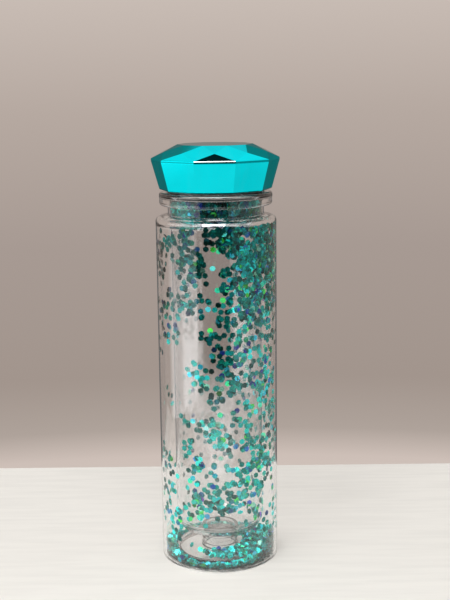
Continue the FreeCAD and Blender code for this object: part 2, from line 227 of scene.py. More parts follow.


# Flakes on each wall, clump by clump: azimuth from the front towards +X in degrees, height in millimetres,
# half the spread of both, count, and the tone: painted light and shade that scales the film's colour there,
# low where the flakes look shaded, high where they look lit, and 2 or more for painted glints
WALL_CLUMPS = {
    "shell": (
        (-72, 187, 12, 12, 34, 0.20), (-48, 194, 6, 8, 14, 0.32), (-29, 198, 8, 6, 24, 0.24),
        (-3, 199, 8, 4, 18, 0.22), (15, 196, 10, 8, 95, 0.24), (-29, 182, 9, 8, 34, 0.28),
        (-17, 183, 6, 7, 26, 0.18), (-33, 165, 8, 10, 18, 0.32), (-21, 158, 7, 5, 12, 0.24),
        (-51, 160, 7, 6, 8, 0.42), (-73, 152, 11, 21, 20, 0.30), (-49, 143, 12, 8, 16, 0.60),
        (-2, 172, 20, 6, 11, 0.25), (1, 160, 15, 3, 8, 0.35), (-4, 145, 10, 8, 12, 0.30),
        (14, 175, 9, 9, 20, 0.35), (10, 152, 8, 5, 14, 0.40), (52, 191, 32, 12, 330, 0.62),
        (55, 168, 30, 14, 230, 0.70), (50, 145, 34, 11, 80, 0.75), (-2, 132, 6, 5, 7, 0.25),
        (17, 130, 13, 5, 20, 0.50), (44, 122, 23, 11, 60, 1.08), (-22, 119, 8, 8, 13, 0.86),
        (-12, 114, 5, 7, 7, 0.97), (9, 117, 14, 8, 32, 0.43), (0, 105, 8, 5, 9, 0.32),
        (27, 111, 15, 6, 12, 0.75), (57, 100, 13, 14, 50, 1.35), (28, 98, 10, 5, 13, 1.08),
        (-26, 90, 11, 4, 7, 1.08), (-8, 88, 10, 7, 24, 1.02), (4, 84, 9, 8, 13, 1.08),
        (24, 85, 11, 10, 20, 1.08), (-31, 76, 10, 6, 8, 1.02), (45, 70, 12, 9, 40, 1.23),
        (66, 71, 12, 15, 28, 1.02), (-71, 66, 13, 8, 10, 0.87), (-20, 68, 4, 4, 6, 1.16),
        (-63, 55, 15, 11, 26, 1.16), (-17, 60, 16, 7, 18, 1.23), (21, 58, 8, 6, 13, 1.23),
        (45, 58, 18, 11, 42, 1.30), (-55, 30, 18, 13, 32, 1.23), (66, 29, 18, 14, 30, 1.23),
        (112, 178, 26, 26, 90, 0.70), (145, 184, 22, 20, 40, 0.60), (118, 96, 28, 44, 60, 0.80),
        (-115, 170, 26, 30, 40, 0.45), (155, 60, 36, 34, 40, 0.80), (-145, 60, 36, 40, 34, 0.80),
        (0, 150, 12, 48, 9, 2.40), (14, 186, 14, 22, 6, 2.20), (40, 120, 30, 60, 10, 2.10),
    ),
    "flask": (
        (55, 177, 29, 17, 60, 0.60), (10, 70, 11, 7, 12, 1.30), (12, 44, 26, 9, 42, 1.23),
        (2, 40, 34, 6, 46, 0.84), (-29, 37, 21, 9, 30, 1.30), (59, 36, 25, 11, 40, 1.30),
        (125, 150, 40, 40, 50, 0.70), (10, 42, 50, 12, 3, 2.10),
    ),
}

# Film colours of the flakes and how common each one is
FLAKE_COLOURS = (
    ("#149F95", 26), ("#1CB8AE", 20), ("#0C8177", 16), ("#2ACCC4", 9), ("#08625A", 10),
    ("#34D0A4", 4), ("#3AC2D6", 6), ("#3A86BE", 3), ("#23479A", 3), ("#7458A6", 0.6),
    ("#44CC60", 2), ("#9CF0D2", 2),
)

# Flakes of this tone or more are painted glints: they take these greens, brightened by their tone
PAINTED_GLINT_TONE = 2.0
PAINTED_GLINT_COLOURS = (("#2FB583", 4), ("#35B04A", 3), ("#2FB0A0", 3), ("#5AB848", 1))


def add_node(tree, kind, settings=(), values=(), links=(), stops=()):
    """Adds a node, sets its attributes and socket values, links its sockets and fills its colour ramp."""
    made = tree.nodes.new(kind)
    for name, value in dict(settings).items():
        setattr(made, name, value)
    for name, value in dict(values).items():
        made.inputs[name].default_value = value
    for name, source in dict(links).items():
        tree.links.new(source, made.inputs[name])
    for place, (position, colour) in enumerate(stops):
        if place >= len(made.color_ramp.elements):
            made.color_ramp.elements.new(position)
        made.color_ramp.elements[place].position = position
        made.color_ramp.elements[place].color = colour
    return made


def new_material(name):
    """An empty node material and its tree."""
    material = bpy.data.materials.new(name)
    material.use_nodes = True
    material.node_tree.nodes.clear()
    return material, material.node_tree


def shaded(colour, share):
    """A linear colour times a share, held at 1."""
    return tuple(min(1.0, share * part) for part in colour[:3]) + (1.0,)


def noise_pattern(tree, millimetres, detail, bump=(), ranges=(), tint=()):
    """Noise of a real size, one for all axes or one for each, and the shader sockets that follow it.

    bump is the relief's strength and its depth in millimetres. ranges gives, for a socket, the noise's two
    ends and the socket's values there. tint is a colour ramp's stops.
    """
    place = add_node(tree, "ShaderNodeTexCoord")
    scale = (1 / (MM * np.broadcast_to(millimetres, 3))).tolist()
    scaled = add_node(tree, "ShaderNodeMapping", values={"Scale": scale},
                      links={"Vector": place.outputs["Object"]})
    noise = add_node(tree, "ShaderNodeTexNoise", values={"Scale": 1.0, "Detail": detail},
                     links={"Vector": scaled.outputs["Vector"]}).outputs["Fac"]
    sockets = {}
    for name, ends in dict(ranges).items():
        values = dict(zip(("From Min", "From Max", "To Min", "To Max"), ends))
        span = add_node(tree, "ShaderNodeMapRange", values=values, links={"Value": noise})
        sockets[name] = span.outputs["Result"]
    if bump:
        strength, depth = bump
        relief = add_node(tree, "ShaderNodeBump", values={"Strength": strength, "Distance": depth * MM},
                          links={"Height": noise})
        sockets["Normal"] = relief.outputs["Normal"]
    if tint:
        ramp = add_node(tree, "ShaderNodeValToRGB", links={"Fac": noise}, stops=tint)
        sockets["Base Color"] = ramp.outputs["Color"]
    return sockets


def close_material(material, values, *patterns):
    """Ends a material in one shader that has these constants and follows these patterns."""
    tree = material.node_tree
    links = {name: source for pattern in patterns for name, source in pattern.items()}
    shader = add_node(tree, "ShaderNodeBsdfPrincipled", values=values, links=links)
    add_node(tree, "ShaderNodeOutputMaterial", links={"Surface": shader.outputs["BSDF"]})
    return material


def clear_plastic(colour):
    """Clear styrene copolymer, injection moulded: glass-clear, with faint flow lines and handling haze."""
    material, tree = new_material("clear styrene copolymer, injection moulded")
    # Flow lines run up the wall: about 6 mm wide and 90 mm long
    flow = noise_pattern(tree, (6, 6, 90), 2.0, bump=(0.25, 0.05))
    # Handling haze in patches of about 15 mm
    haze = noise_pattern(tree, 15, 3.0, ranges={"Roughness": (0.4, 0.8, 0.012, 0.035)})
    constants = {"Base Color": colour, "IOR": 1.57, "Transmission Weight": 1.0}
    return close_material(material, constants, flow, haze)


def metallised_plastic(surface, colour, edge_colour):
    """Vacuum-metallised ABS under lacquer: a coloured mirror, a little wavy, with a clear gloss on top."""
    material, tree = new_material(f"metallised ABS, {surface}")
    # Orange peel of about 4 mm in the lacquer, and fine wipe marks of about 0.4 mm in the gloss
    peel = noise_pattern(tree, 4, 1.0, bump=(0.2, 0.02))
    wipe = noise_pattern(tree, 0.4, 2.0, ranges={"Roughness": (0.35, 0.75, 0.02, 0.06)})
    # The lacquer pools a little: its depth changes over about 12 mm
    pool = noise_pattern(tree, 12, 1.0, tint=((0.3, shaded(colour, 0.97)), (0.7, shaded(colour, 1.02))))
    constants = {"Metallic": 1.0, "Specular Tint": edge_colour, "Coat Weight": 0.04, "Coat Roughness": 0.02}
    return close_material(material, constants, peel, wipe, pool)


def moulded_polypropylene(colour):
    """Polypropylene, dark grey partly as painted shade, injection moulded: waxy, softly shining, spark-eroded
    grain.
    """
    material, tree = new_material("dark grey polypropylene, injection moulded")
    # Mould grain of about 0.5 mm and slow tone changes of about 10 mm
    grain = noise_pattern(tree, 0.5, 2.0, bump=(0.3, 0.03), ranges={"Roughness": (0.3, 0.7, 0.34, 0.46)})
    tone = noise_pattern(tree, 10, 1.0, tint=((0.3, shaded(colour, 0.92)), (0.7, shaded(colour, 1.0))))
    constants = {"IOR": 1.49, "Subsurface Weight": 0.15, "Subsurface Scale": 1.5 * MM}
    return close_material(material, constants, grain, tone)


def cast_silicone(colour):
    """Milky silicone, pressed: light goes some way in, the skin is dull and picks up a little dust."""
    material, tree = new_material("milky silicone, pressed")
    # Dust and skin grain of about 0.8 mm
    dust = noise_pattern(tree, 0.8, 3.0, bump=(0.2, 0.03), ranges={"Roughness": (0.3, 0.7, 0.42, 0.6)},
                         tint=((0.35, shaded(colour, 0.88)), (0.6, shaded(colour, 1.0))))
    constants = {"IOR": 1.41, "Subsurface Weight": 0.5, "Subsurface Scale": 3.0 * MM}
    return close_material(material, constants, dust)


def glitter_film():
    """Metallised polyester film, die cut: each flake is a small tinted mirror whose hue drifts across it."""
    material, tree = new_material("metallised polyester film, die cut")
    # The embossed film turns the hue a little from side to side: the drift is about 2 mm wide
    drift = noise_pattern(tree, 2, 1.0, ranges={"Hue": (0.3, 0.7, 0.47, 0.53),
                                                "Roughness": (0.3, 0.7, 0.2, 0.34)})
    own = add_node(tree, "ShaderNodeAttribute", settings={"attribute_name": "flake_colour"})
    turned = add_node(tree, "ShaderNodeHueSaturation",
                      links={"Color": own.outputs["Color"], "Hue": drift["Hue"]})
    hue = turned.outputs["Color"]
    film = {"Base Color": hue, "Specular Tint": hue, "Roughness": drift["Roughness"]}
    return close_material(material, {"Metallic": 0.75}, film)


def painted_board(colour):
    """Matt white paint on board: nearly even, with a brushed tone and a fine tooth."""
    material, tree = new_material("matt white paint on board")
    # Brush strokes of about 60 mm by 6 mm
    brush = noise_pattern(tree, (60, 6, 60), 3.0, bump=(0.15, 0.1),
                          tint=((0.35, shaded(colour, 0.95)), (0.6, shaded(colour, 1.0))))
    return close_material(material, {"Roughness": 0.6, "Specular IOR Level": 0.3}, brush)


def unit(vectors):
    """Vectors brought to length one along the last axis; a zero vector stays zero."""
    size = np.linalg.norm(vectors, axis=-1, keepdims=True)
    return vectors / np.maximum(size, TINY)


def with_holding_points(outline):
    """Outline with a point close to each end of its long straight runs, so that these keep level shading.

    A run from p to q along the unit vector u gains the points p + h u and q - h u.
    """
    run = np.diff(outline, axis=0)
    far = np.flatnonzero(np.linalg.norm(run, axis=1) > 5 * HOLD)
    along = HOLD * unit(run[far])
    extra = np.stack((outline[far] + along, outline[far + 1] - along), axis=1).reshape(-1, 2)
    return np.insert(outline, np.repeat(far + 1, 2), extra, axis=0)


def rounded_outline(corners):
    """Outline through (radius, height, rounding) corners, each turned by an arc tangent to both its sides.

    With a and b the directions to the two neighbours and h half the angle between them, the arc's centre is
    rounding / sin h along their bisector, and its points are the spherical blend of the two radii to the
    tangent points, which lie rounding / tan h from the corner.
    """
    corners = np.asarray(corners, float)
    spots, rounding = corners[:, :2], corners[:, 2:]
    back = unit(np.roll(spots, 1, axis=0) - spots)
    ahead = unit(np.roll(spots, -1, axis=0) - spots)
    half = np.arccos(np.clip((back * ahead).sum(axis=1, keepdims=True), -1.0, 1.0)) / 2
    centre = spots + unit(back + ahead) * rounding / np.sin(half)
    run = rounding / np.tan(half)
    first = (spots + back * run - centre)[:, None, :]
    last = (spots + ahead * run - centre)[:, None, :]
    turn = (np.pi - 2 * half)[:, None, :]
    share = np.linspace(0.0, 1.0, ARC_STEPS)[None, :, None]
    whole = np.maximum(np.sin(turn), TINY)
    arcs = centre[:, None, :] + (np.sin((1 - share) * turn) * first + np.sin(share * turn) * last) / whole
    outline = arcs.reshape(-1, 2)
    moved = np.abs(np.diff(outline, axis=0)).max(axis=1) > MERGE
    outline = outline[np.concatenate(([True], moved))]
    return with_holding_points(outline)


def mesh_from(name, points, faces):
    """Mesh from points and faces with doubles merged, smooth but for its real edges."""
    mesh = bpy.data.meshes.new(name)
    mesh.from_pydata(points.reshape(-1, 3).tolist(), [], faces)
    work = bmesh.new()
    work.from_mesh(mesh)
    bmesh.ops.remove_doubles(work, verts=work.verts[:], dist=MERGE)
    work.to_mesh(mesh)
    work.free()
    mesh.shade_smooth()
    mesh.set_sharp_from_angle(angle=SMOOTH_ANGLE)
    mesh.validate()
    return mesh


def ring_points(radius, angle, height):
    """Points (r cos a, r sin a, z) of level rings round the axis."""
    return np.stack(np.broadcast_arrays(radius * np.cos(angle), radius * np.sin(angle), height), axis=-1)


def lathe_mesh(name, outline, swell=None):
    """Surface of revolution: the point at angle t and outline place s is (r cos t, r sin t, z).

    r and z are the outline's at s, and swell, a function of t, r and z, is added to r. An outline that starts
    and ends on the axis closes at its poles, any other closes on itself.
    """
    turn = np.linspace(0.0, 2 * np.pi, LATHE_COLUMNS, endpoint=False)[:, None]
    radius, height = outline[None, :, 0], outline[None, :, 1]
    grown = radius + (swell(turn, radius, height) if swell else 0.0)
    points = ring_points(grown, turn, height)
    rows = len(outline)
    index = np.arange(LATHE_COLUMNS * rows).reshape(LATHE_COLUMNS, rows)
    across = np.roll(index, -1, axis=0)
    quads = np.stack((index, across, np.roll(across, -1, axis=1), np.roll(index, -1, axis=1)), axis=-1)
    if outline[0, 0] < TINY:
        quads = quads[:, :-1]
    return mesh_from(name, points, quads.reshape(-1, 4).tolist())


def add_piece(mesh, material, body, slot, *replaced):
    """Puts a finished mesh in the scene as a piece of the object, on its body, in place of CAD nodes."""
    mesh.materials.append(material)
    piece = bpy.data.objects.new(mesh.name, mesh)
    bpy.context.scene.collection.objects.link(piece)
    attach(piece, body)
    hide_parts(*replaced)
    return piece


def shell_outline(sizes):
    """Outer shell: from the foot up the outside, round shoulder, groove and flange, and down the inside."""
    radius, seam = SHELL_HIGH.x, SHELL_HIGH.z - sizes.weld_gap
    inner = radius - sizes.shell_wall
    shoulder_top = sizes.shoulder_height + sizes.shoulder_rise
    flange_bottom = shoulder_top + sizes.groove_height
    bore = sizes.groove_radius - sizes.neck_wall
    bore_round, ledge_round = 0.6 * MM, 0.2 * MM
    return rounded_outline([
        (radius, 0.0, sizes.foot_round),
        (radius, sizes.shoulder_height, sizes.shoulder_round),
        (sizes.groove_radius, shoulder_top, sizes.groove_round),
        (sizes.groove_radius, flange_bottom, sizes.groove_round),
        (sizes.flange_radius, flange_bottom, sizes.flange_round),
        (sizes.flange_radius, seam, 0.0),
        (bore, seam, 0.0),
        (bore, shoulder_top - sizes.shell_wall, bore_round),
        (inner, sizes.shoulder_height - sizes.shell_wall, sizes.shoulder_fillet),
        (inner, sizes.base_top, 0.0),
        (sizes.ledge_radius, sizes.base_top, 0.0),
        (sizes.ledge_radius, 0.0, ledge_round),
    ])


def flask_outline(sizes):
    """Inner flask: from the middle of its floor up the outside, over flange and neck, and down the inside."""
    radius, bottom = sizes.flask_radius, FLASK_LOW.z + sizes.weld_gap
    seam, rim = SHELL_HIGH.z, FLASK_HIGH.z
    inner, mouth = radius - sizes.flask_wall, sizes.mouth_radius
    mouth_inner = mouth - sizes.flask_wall
    floor_top = FLASK_LOW.z + sizes.flask_floor
    flange_top = seam + sizes.flask_flange_height
    root_round, lip_round, throat_round = 0.4 * MM, 0.3 * MM, 1.0 * MM
    neck = [(mouth, height, 0.0) for height in np.linspace(flange_top, rim - 2 * sizes.rim_round, NECK_ROWS)]
    return rounded_outline([
        (0.0, bottom, 0.0),
        (radius, bottom, sizes.flask_round),
        (radius, seam, root_round),
        (FLASK_HIGH.x, seam, lip_round),
        (FLASK_HIGH.x, flange_top, sizes.flask_flange_round),
        *neck,
        (mouth, rim, sizes.rim_round),
        (mouth_inner, rim, sizes.rim_round),
        (mouth_inner, flange_top, throat_round),
        (inner, seam, throat_round),
        (inner, floor_top, sizes.flask_round - sizes.flask_wall),
        (0.0, floor_top, 0.0),
    ])


def disc_outline(sizes):
    """Base disc: from the middle of its underside out to the rim, back over panel and pedestal ring."""
    radius, under = DISC_HIGH.x, DISC_LOW.z
    top = sizes.base_top - sizes.weld_gap
    panel_top = sizes.base_top + sizes.panel_rise
    slope_foot = sizes.panel_radius + sizes.panel_slope
    ring, hollow = sizes.pedestal_radius, sizes.pedestal_radius - sizes.pedestal_wall
    under_panel = sizes.panel_radius - sizes.panel_wall
    soft = 0.3 * MM
    band = (DISC_HIGH.z - panel_top) / (2 * sizes.pedestal_grooves + 1)
    cuts = [(ring - sizes.groove_depth * (step in (1, 2)), panel_top + band * (2 * k + 1 + step // 2), soft)
            for k in range(sizes.pedestal_grooves) for step in range(4)]
    return rounded_outline([
        (0.0, under + sizes.panel_rise, 0.0),
        (under_panel, under + sizes.panel_rise, soft),
        (under_panel + sizes.panel_slope, under, soft),
        (radius, under, soft),
        (radius, top, soft),
        (slope_foot, top, soft),
        (sizes.panel_radius, panel_top, soft),
        (ring, panel_top, soft),
        *cuts,
        (ring, DISC_HIGH.z - sizes.weld_gap, soft),
        (hollow, DISC_HIGH.z - sizes.weld_gap, soft),
        (hollow, panel_top, soft),
        (0.0, panel_top, 0.0),
    ])


def thread_swell(sizes):
    """Radius that the thread's ridge adds to the neck at angle t and height z.

    The ridge's middle climbs by lead * t / 2 pi. Across it the section is a trapezium,
    depth * (root / 2 - |z - middle|) / ((root - crest) / 2), held between 0 and depth. It runs out over a
    sixth of a turn at each end.
    """
    flange_top = SHELL_HIGH.z + sizes.flask_flange_height
    neck_end = FLASK_HIGH.z - 1.5 * sizes.rim_round
    flank = (sizes.thread_root - sizes.thread_crest) / 2
    whole, run_out = 2 * np.pi * sizes.thread_turns, np.pi / 3

    def swell(turn, radius, height):
        """The ridge's section on the neck, the higher one where two laps overlap."""
        on_neck = (np.abs(radius - sizes.mouth_radius) < MERGE) & (height > flange_top) & (height < neck_end)
        laps = turn[..., None] + 2 * np.pi * np.arange(math.ceil(sizes.thread_turns))
        middle = flange_top + sizes.thread_start + sizes.thread_lead * laps / (2 * np.pi)
        off = np.abs(height[..., None] - middle)
        section = np.clip((sizes.thread_root / 2 - off) / flank, 0.0, 1.0)
        ends = np.clip(laps / run_out, 0.0, 1.0) * np.clip((whole - laps) / run_out, 0.0, 1.0)
        return on_neck * (sizes.thread_depth * section * ends).max(axis=-1)

    return swell


class GLITTER_BOTTLE_OT_clear_walls(bpy.types.Operator):
    """Turns the outer shell, the inner flask and the base disc in clear plastic"""

    bl_idname = "glitter_bottle.clear_walls"
    bl_label = "Clear walls"

    def execute(self, context):
        sizes = context.scene.bottle_sizes
        plastic = clear_plastic(context.scene.finish_colours.clear)
        meshes = (
            (lathe_mesh("clear_outer_shell", shell_outline(sizes)), "outer_shell"),
            (lathe_mesh("clear_inner_flask", flask_outline(sizes), thread_swell(sizes)), "inner_flask"),
            (lathe_mesh("clear_base_disc", disc_outline(sizes)), "base_disc"),
        )
        for mesh, node in meshes:
            piece = add_piece(mesh, plastic, "bottle", "clear_wall", node)
            piece.visible_shadow = False
        return {"FINISHED"}


def gem_ring(radius, height, per_side=1, half_step=False):
    """Corners of a ten-sided ring with a flat facing -Y, with more points along each side if asked.

    A corner k stands at angle -90 + 36 (k + 1/2) degrees, or -90 + 36 k with half_step. A point between two
    corners is their straight blend.
    """
    corner = np.arange(GEM_SIDES) + (0.0 if half_step else 0.5)
    angle = -np.pi / 2 + 2 * np.pi * corner / GEM_SIDES
    ends = ring_points(radius, angle, height)
    share = (np.arange(per_side) / per_side)[None, :, None]
    return (ends[:, None] * (1 - share) + np.roll(ends, -1, axis=0)[:, None] * share).reshape(-1, 3)


def round_ring(radius, height, like):
    """Points on a circle at the angles of another ring's points."""
    return ring_points(radius, np.arctan2(like[:, 1], like[:, 0]), height)


def band_faces(count, lower, upper):
    """Four-sided faces from one ring of points to the next, given where each ring starts."""
    here = np.arange(count)
    after = np.roll(here, -1)
    return np.stack((lower + here, lower + after, upper + after, upper + here), axis=-1).tolist()


def facet_mesh(name, points, faces, worn=()):
    """Mesh of flat facets that keeps its flat shading; the faces listed as worn take the second material."""
    mesh = bpy.data.meshes.new(name)
    mesh.from_pydata(points.tolist(), [], faces)
    finish = np.zeros(len(faces), dtype=np.int32)
    finish[list(worn)] = 1
    mesh.polygons.foreach_set("material_index", finish)
    mesh.validate()
    return mesh


def lid_taper(lid):
    """How much the lid's corner radius grows with height, from its foot to its girdle."""
    return (CROWN_HIGH.x - lid.foot_radius) / (SKIRT_HIGH.z - SKIRT_LOW.z)


def crown_mesh(lid):
    """Gem top as rings of ten: spigot inside, girdle band, then triangles, kites and stars up to the table.

    The star points stand half way from girdle to table, at the middle of each side. The girdle's top edge is
    a narrow slope, which ends on the line from a girdle corner to its table corner, and on some sides its
    lacquer is rubbed off. Inside, the same cut is repeated a wall's thickness lower without its stars.
    """
    girdle, table = CROWN_HIGH.x, lid.table_radius
    seam, top = SKIRT_HIGH.z, CROWN_HIGH.z
    girdle_top = seam + lid.girdle_height
    spigot_foot = seam - lid.spigot_height
    spigot = girdle - lid_taper(lid) * lid.spigot_height - (lid.wall + lid.spigot_clearance) / GEM_FLAT
    bore = spigot - lid.spigot_wall / GEM_FLAT
    slope = (top - girdle_top) / (girdle - table)
    inner_girdle_z = girdle_top + (girdle - bore) * slope - lid.wall * math.hypot(1.0, slope)
    inner_table_z = top - lid.wall
    inner_table = bore - (inner_table_z - inner_girdle_z) / slope
    rings = (
        gem_ring(inner_table, inner_table_z),
        gem_ring(bore, inner_girdle_z),
        gem_ring(bore, spigot_foot),
        gem_ring(spigot, spigot_foot),
        gem_ring(spigot, seam),
        gem_ring(girdle, seam),
        gem_ring(girdle, girdle_top - lid.wear_drop),
        gem_ring(girdle - lid.wear_run, girdle_top + lid.wear_run * slope),
        gem_ring((girdle + table) / 2 / GEM_FLAT, (girdle_top + top) / 2, half_step=True),
        gem_ring(table, top),
    )
    start = GEM_SIDES * np.arange(len(rings))
    rim, star, high = start[-3:]
    here = np.arange(GEM_SIDES)
    after = np.roll(here, -1)
    faces = [here[::-1].tolist(), (high + here).tolist()]
    for lower, upper in zip(start[:-3], start[1:-2]):
        faces += band_faces(GEM_SIDES, lower, upper)
    worn = len(faces) - GEM_SIDES + np.array(RUBBED_SIDES)
    faces += np.stack((rim + here, rim + after, star + after), axis=-1).tolist()
    faces += np.stack((rim + here, star + after, high + here, star + here), axis=-1).tolist()
    faces += np.stack((high + after, high + here, star + after), axis=-1).tolist()
    return facet_mesh("faceted_crown", np.concatenate(rings), faces, worn)


def skirt_mesh(lid):
    """Tapering lower half of the gem: ten flats outside and in, with a round hole in its floor.

    Each ring has six points to a side, so that the ten-sided rings meet the round ones point by point.
    """
    per_side = 6
    foot, seam = SKIRT_LOW.z, SKIRT_HIGH.z
    girdle, taper = CROWN_HIGH.x, lid_taper(lid)
    ledge = foot + lid.ledge_height
    inset = lid.wall / GEM_FLAT
    foot_ring = gem_ring(lid.foot_radius - lid.foot_chamfer, foot, per_side)
    rings = (
        foot_ring,
        gem_ring(lid.foot_radius + taper * lid.foot_chamfer, foot + lid.foot_chamfer, per_side),
        gem_ring(girdle, seam, per_side),
        gem_ring(girdle - inset, seam, per_side),
        gem_ring(lid.foot_radius + taper * lid.ledge_height - inset, ledge, per_side),
        round_ring(lid.hole_radius, ledge, foot_ring),
        round_ring(lid.hole_radius, foot, foot_ring),
    )
    count = len(foot_ring)
    starts = count * np.arange(len(rings))
    faces = []
    for lower, upper in zip(starts, np.roll(starts, -1)):
        faces += band_faces(count, lower, upper)
    return facet_mesh("faceted_skirt", np.concatenate(rings), faces)


class GLITTER_BOTTLE_OT_gem_lid(bpy.types.Operator):
    """Cuts the gem lid's crown and skirt in metallised plastic"""

    bl_idname = "glitter_bottle.gem_lid"
    bl_label = "Gem lid"

    def execute(self, context):
        lid = context.scene.lid_sizes
        colours = context.scene.finish_colours
        finish = metallised_plastic("tinted lacquer", colours.lacquer, colours.lacquer_edge)
        rubbed = metallised_plastic("lacquer rubbed off", colours.bare_film, colours.bare_film)
        for mesh, node in ((crown_mesh(lid), "gem_crown"), (skirt_mesh(lid), "gem_skirt")):
            piece = add_piece(mesh, finish, "lid", "metallised_gem", node)
            mesh.materials.append(rubbed)
            edges = piece.modifiers.new("rounded_edges", "BEVEL")
            edges.width = lid.edge_round
            edges.segments = 2
            edges.limit_method = "ANGLE"
            edges.angle_limit = BEVEL_ANGLE
        return {"FINISHED"}


class GLITTER_BOTTLE_OT_lid_lining(bpy.types.Operator):
    """Gives the lid's threaded insert and its gasket their finishes"""

    bl_idname = "glitter_bottle.lid_lining"
    bl_label = "Lid lining"

    def execute(self, context):
        colours = context.scene.finish_colours
        finishes = {
            "cap_insert": moulded_polypropylene(colours.insert),
            "cap_gasket": cast_silicone(colours.gasket),
        }
        for node, finish in finishes.items():
            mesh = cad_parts[node].data
            mesh.materials.clear()
            mesh.materials.append(finish)
        return {"FINISHED"}


def film_colours(shares, count, draw):
    """Linear colours drawn from a list of sRGB hex colours, each as often as its share says."""
    weights = np.array([share for _, share in shares], float)
    palette = np.array([linear(code) for code, _ in shares])
    return palette[draw.choice(len(palette), size=count, p=weights / weights.sum())]


def flake_reach(glitter):
    """Distance from a flake's middle to its corners."""
    return glitter.width / 2 / FLAKE_FLAT


def any_turn(count, draw):
    """Angles drawn evenly from a whole turn."""
    return draw.uniform(0.0, 2 * np.pi, count)


def plane_axes(normals):
    """Two directions that span the plane across each normal, the first of them square to Z or to X."""
    upright = np.abs(normals[:, 2:]) > 0.9
    side = unit(np.cross(normals, np.where(upright, [[1.0, 0.0, 0.0]], [UP])))
    return side, np.cross(normals, side)


def flake_mesh(name, centres, normals, spins, tones, glitter, draw):
    """Six-sided plates: corner k of a plate is centre + R (u cos a + v sin a) +- n thickness / 2.

    n is the plate's normal, u and v span its plane, and a is spin + 60 k degrees. Each plate's colour is
    drawn from the film colours, or from the glint greens at a glint's tone, and is scaled by its tone, which
    is painted light and shade.
    """
    count = len(centres)
    side, other = plane_axes(normals)
    angle = spins[:, None] + 2 * np.pi * np.arange(FLAKE_SIDES) / FLAKE_SIDES
    rim = np.cos(angle)[..., None] * side[:, None] + np.sin(angle)[..., None] * other[:, None]
    middle = centres[:, None] + flake_reach(glitter) * rim
    lift = normals[:, None] * glitter.thickness / 2
    points = np.stack((middle - lift, middle + lift), axis=1).reshape(-1, 3)
    first = 2 * FLAKE_SIDES * np.arange(count)[:, None]
    corner = np.arange(FLAKE_SIDES)
    after = np.roll(corner, -1)
    faces = (first + corner[::-1]).tolist() + (first + FLAKE_SIDES + corner).tolist()
    walls = np.stack((corner, after, after + FLAKE_SIDES, corner + FLAKE_SIDES), axis=-1)
    faces += (first[..., None] + walls).reshape(-1, 4).tolist()
    mesh = bpy.data.meshes.new(name)
    mesh.from_pydata(points.tolist(), [], faces)
    glint_colours = film_colours(PAINTED_GLINT_COLOURS, count, draw)
    plain = film_colours(FLAKE_COLOURS, count, draw)
    # The tone paints light and shade into the colour: painted glints at a high tone, painted shade at a low
    # one
    chosen = np.where((tones >= PAINTED_GLINT_TONE)[:, None], glint_colours, plain)
    chosen[:, :3] *= (tones * draw.lognormal(0.0, glitter.tone_spread, count))[:, None]
    colours = np.repeat(np.clip(chosen, 0.0, 1.0), 2 * FLAKE_SIDES, axis=0)
    layer = mesh.attributes.new("flake_colour", "FLOAT_COLOR", "POINT")
    layer.data.foreach_set("color", colours.astype(np.float32).ravel())
    return mesh


def tilted(normals, tilts, leans):
    """Normals leant over by a tilt towards a direction at angle lean in the plate's own plane."""
    side, other = plane_axes(normals)
    sideways = np.cos(leans)[:, None] * side + np.sin(leans)[:, None] * other
    return unit(normals * np.cos(tilts)[:, None] + sideways * np.sin(tilts)[:, None])


def outward_at(azimuth):
    """Level directions at an azimuth measured from the front, -Y, towards +X."""
    return np.stack((np.sin(azimuth), -np.cos(azimuth), np.zeros_like(azimuth)), axis=-1)


def spots_at(azimuth, radius, height):
    """Points at azimuths from the front, distances from the axis and heights."""
    return outward_at(azimuth) * np.reshape(radius, (-1, 1)) + np.reshape(height, (-1, 1)) * UP


def wall_flakes(wall, sizes, glitter, draw):
    """Flakes on a wall, strewn over each clump's azimuths and heights.

    Most of them cling to the wall, pressed a little into it and hardly tilted; the loose ones lean off it. A
    height past either end of the wall is turned back into it.
    """
    clumps = np.array(WALL_CLUMPS[wall], float)
    count = clumps[:, 4].astype(int)
    azimuth, height, wide, tall, tones = (np.repeat(clumps[:, k], count) for k in (0, 1, 2, 3, 5))
    total = count.sum()
    on_flask = wall == "flask"
    reach = flake_reach(glitter)
    fuzzy_edge, steepest_cling, least_loose = 0.2, 2.5 * glitter.wall_tilt, 0.3

    def spread():
        """Offsets that fill a clump evenly and thin out over its edge."""
        return draw.uniform(-1.0, 1.0, total) + fuzzy_edge * draw.standard_normal(total)

    azimuth = np.radians(azimuth + wide * spread())
    low = FLASK_LOW.z + sizes.flask_round if on_flask else sizes.base_top + 2 * reach
    high = sizes.shoulder_height - sizes.shoulder_round - 0.5 * reach
    height = (height + tall * spread()) * MM
    height = np.where(height > high, 2 * high - height, height)
    height = np.clip(np.where(height < low, 2 * low - height, height), low, high)
    tilts = np.minimum(np.abs(glitter.wall_tilt * draw.standard_normal(total)), steepest_cling)
    loose = draw.uniform(0.0, 1.0, total) < glitter.loose_share
    tilts = np.where(loose, draw.uniform(least_loose, 1.0, total) * glitter.loose_tilt, tilts)
    inside = SHELL_HIGH.x - sizes.shell_wall
    off = reach * np.sin(tilts) + glitter.thickness
    pressed = glitter.cling - glitter.thickness / 2
    radius = sizes.flask_radius + off if on_flask else inside + np.where(loose, -off, pressed)
    facing = outward_at(azimuth) if on_flask else -outward_at(azimuth)
    normals = tilted(facing, tilts, any_turn(total, draw))
    return spots_at(azimuth, radius, height), normals, any_turn(total, draw), tones


